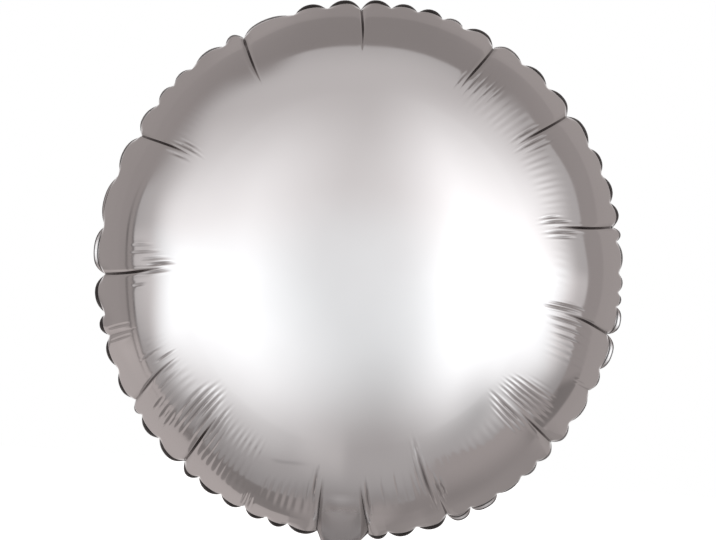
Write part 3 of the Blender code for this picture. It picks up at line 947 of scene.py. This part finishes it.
def look_from_front():
    """A camera straight in front, with the envelope where the photograph has it."""
    data = bpy.data.cameras.new("camera")
    data.sensor_width = SENSOR_WIDTH
    data.lens = SENSOR_WIDTH * CAMERA_DISTANCE / (PHOTO_WIDTH * PIXEL_SIZE)
    data.clip_end = 100.0
    data.shift_x = (PHOTO_WIDTH / 2.0 - CENTRE_X) / PHOTO_WIDTH
    data.shift_y = (CENTRE_Y - PHOTO_HEIGHT / 2.0) / PHOTO_WIDTH
    camera = bpy.data.objects.new("camera", data)
    bpy.context.scene.collection.objects.link(camera)
    camera.matrix_world = (
        Matrix.Translation((0.0, -CAMERA_DISTANCE, 0.0))
        @ Matrix.Rotation(CAMERA_ROLL, 4, "Y")
        @ Matrix.Rotation(math.radians(90.0), 4, "X")
    )
    bpy.context.scene.camera = camera


class Direction:
    """A direction from the balloon. Across and up are 0 towards the camera and 1 at right angles to it."""

    def __init__(self, tree):
        self.x, self.y, self.z = split(tree, tree.nodes.new("ShaderNodeTexCoord").outputs["Generated"])
        to_front = (1.0 - self.y).at_least(NEARLY_ZERO)
        self.across, self.up = self.x / to_front, self.z / to_front
        self.off = length_of(tree, self.across, self.up)
        self.left, self.low = -self.across, -self.up
        # How far a direction is in the ceiling, the ground and the room's low right corner
        self.ceiling, self.ground = self.up.fade(-0.03, 0.10), self.low.fade(0.04, 0.46)
        beside_neck = (self.across - self.low * 0.42).fade(-0.05, 0.06)
        self.corner = (self.low - self.across * 0.75).fade(-0.03, 0.06) * beside_neck


def softbox(across, up, box):
    """A wide light with soft edges."""
    comes, goes, middle, half = box
    return across.fade(*comes) * across.fall(*goes) * abs(up - middle).fall(*half)


def left_at_low_right(way):
    """The share of the tent and its lights that is left at the lower right."""
    dark = way.across.fade(0.20, 0.38) * (way.low - way.across * 0.72).fade(-0.05, 0.10)
    return 1.0 - dark * way.off.fade(0.48, 0.64, 0.30, 0.05)


def front_tent(way):
    """The light tent, with its ceiling and ground, a pale patch low down and a thin dark bar across it."""
    tent = way.ceiling * (CEILING - TENT) + TENT + way.ground * (GROUND - TENT)
    tent = tent * way.off.fade(0.55, 1.0, 1.0, TENT_SIDES) * left_at_low_right(way)
    patch = way.left.fade(-0.01, 0.02) * way.left.fall(0.08, 0.16)
    patch = patch * way.low.fade(0.25, 0.5) * way.low.fall(0.50, 0.85)
    bar = abs(way.low - BAR_DROP).fall(0.006, 0.022)
    bar = bar * way.left.fade(0.09, 0.13) * way.left.fade(0.20, 0.24, BAR_SHADE, 0.0)
    return (tent + patch * PALE_PATCH) * (1.0 - bar)


def front_lights(way):
    """The wide soft lights on both sides of the camera."""
    slope = way.up.at_most(0.0)
    left = softbox(way.left + slope * LEFT_LEAN, way.up, LEFT_BOX)
    right = softbox(way.across + slope * RIGHT_LEAN, way.up, RIGHT_BOX)
    return (left * LEFT_LIGHT + right * RIGHT_LIGHT) * left_at_low_right(way)


def room_behind(way):
    """The dim room behind the balloon, with its paler and its darker places."""
    across, up, off, left, low = way.across, way.up, way.off, way.left, way.low
    clear = 1.0 - way.corner
    far = (off - up.at_least(0.0) * 0.27).fade(1.42, 1.56) * (across + up * 0.6).fade(-0.5, 0.0, 0.3, 1.0)
    dark_left = low.fade(0.3, 1.0) * left.fade(-0.1, 0.5)
    dark_right = low.fade(0.40, 0.55) * across.fade(0.85, 1.0) * clear * off.fall(1.46, 1.56)
    under = abs(across).fall(0.12, 0.40) * low.fade(0.9, 1.3)
    screen = (off + left / low.at_least(0.05) * 1.46).fade(2.62, 2.74)
    screen = screen * (low - left * 0.29).fade(-0.12, 0.12) * left.fade(0.25, 0.5)
    room = abs(across).fade(0.2, 1.3) * ROOM_SIDES + ROOM - dark_left * DARK_FLOOR - dark_right * RIGHT_DIP
    room = room + far * clear * FAR_ROOM + way.corner * off.fade(0.75, 1.5, *CORNER_TONES)
    return room + under * UNDER_NECK + screen * PALE_SCREEN


def lights_behind(tree, way):
    """A second tent straight behind the balloon with two soft lights, which its back mirrors."""
    to_back = (way.y + 1.0).at_least(NEARLY_ZERO)
    across, up = abs(way.x / to_back), way.z / to_back
    off = length_of(tree, across, up)
    walls = softbox(across, up, BACK_BOX) * off.fade(0.08, 0.25, BACK_WALL, 0.0)
    return off.fade(0.02, 0.27, BACK_TENT, 0.0) + walls


def share_of_room(way):
    """0 in the tent and 1 in the room: sharp in most places, and blurred towards some corners."""
    below = -way.z
    depth = way.y + way.z.fade(0.78, 0.86) * 0.14 - below.fade(0.6, 0.95) * 0.11 - EDGE_PLACE
    depth = depth + way.corner * (below.fade(0.66, 0.86) * 0.25 + 0.31)
    high_right = (way.across - way.up * 0.48).at_most(way.up * 1.12 - way.across)
    blurred = way.left.at_most(way.up).fade(0.26, 0.46).at_least(below.fade(0.93, 0.985))
    blurred = blurred.at_least(high_right.fade(-0.04, 0.08))
    blurred = blurred.at_least(way.left.at_most(way.low).fade(0.2, 0.5, 0.0, 0.4))
    return depth.fade(*SHARP_EDGE) * (1.0 - blurred) + depth.fade(*BLURRED_EDGE) * blurred


def left_by_stands(way):
    """The share of the light that two thin stands on the left leave."""
    stands = sum(abs(way.y - place).fall(half * 0.4, half) for place, half in STANDS)
    stands = stands * way.left.fade(0.45, 0.75) * way.up.fall(0.0, 0.5) * way.low.fade(0.45, 0.66, 1.0, 0.2)
    return 1.0 - stands * STAND_SHADE


def coloured(tree, colour, bright):
    """Light of a colour, as bright as a number says."""
    node = tree.nodes.new("ShaderNodeVectorMath")
    node.operation = "SCALE"
    put(tree, colour, node.inputs[0])
    put(tree, bright, node.inputs["Scale"])
    return node.outputs[0]


def together(tree, first, second):
    """The light of two sources."""
    node = tree.nodes.new("ShaderNodeVectorMath")
    tree.links.new(first, node.inputs[0])
    tree.links.new(second, node.inputs[1])
    return node.outputs[0]


def studio_light():
    """A light tent in front of the balloon with a wide soft light on each side of the camera, and a dim room.

    The camera itself sees only the pale background.
    """
    world = bpy.data.worlds.new("studio")
    bpy.context.scene.world = world
    world.use_nodes = True
    tree = world.node_tree
    tree.nodes.clear()
    way = Direction(tree)
    warmth = way.ceiling.at_least(way.ground).at_least(way.off.fade(0.5, 0.8))
    tent = coloured(tree, blended(tree, warmth, WHITE, WARM_GREY), front_tent(way))
    front = together(tree, tent, coloured(tree, WHITE, front_lights(way)))
    room = coloured(tree, ROOM_GREY, room_behind(way))
    rear = together(tree, room, coloured(tree, WHITE, lights_behind(tree, way)))
    light = coloured(tree, blended(tree, share_of_room(way), front, rear), left_by_stands(way))

    studio, pale = (tree.nodes.new("ShaderNodeBackground") for _ in range(2))
    tree.links.new(light, studio.inputs["Color"])
    pale.inputs["Color"].default_value = (1.0, 1.0, 1.0, 1.0)
    to_camera = tree.nodes.new("ShaderNodeLightPath").outputs["Is Camera Ray"]
    seen = either(tree, to_camera, studio.outputs[0], pale.outputs[0])
    tree.links.new(seen, tree.nodes.new("ShaderNodeOutputWorld").inputs["Surface"])
    bpy.context.scene.view_settings.view_transform = "Standard"


def main():
    look_from_front()
    studio_light()
    stand_floor()
    foil, sealed = satin_foil(), sealed_foil()
    for name, side, thumb, nodes in (
        ("front_foil", -1.0, True, ("front_panel", "neck_front", "tail_front_ply")),
        ("back_foil", 1.0, False, ("back_panel", "neck_back", "tail_back_ply")),
    ):
        sheet = foil_sheet(name, side, thumb)
        sheet.data.materials.append(foil)
        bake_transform(sheet)
        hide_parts(*nodes)
    band = sealed_band()
    band.data.materials.append(sealed)
    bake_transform(band)
    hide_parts("seam_band", "tail_seal_left", "tail_seal_right")
    film = milky_film()
    for name in ("valve_front_film", "valve_back_film"):
        tongue = bpy.data.objects[name]
        tongue.data.materials.clear()
        tongue.data.materials.append(film)


main()
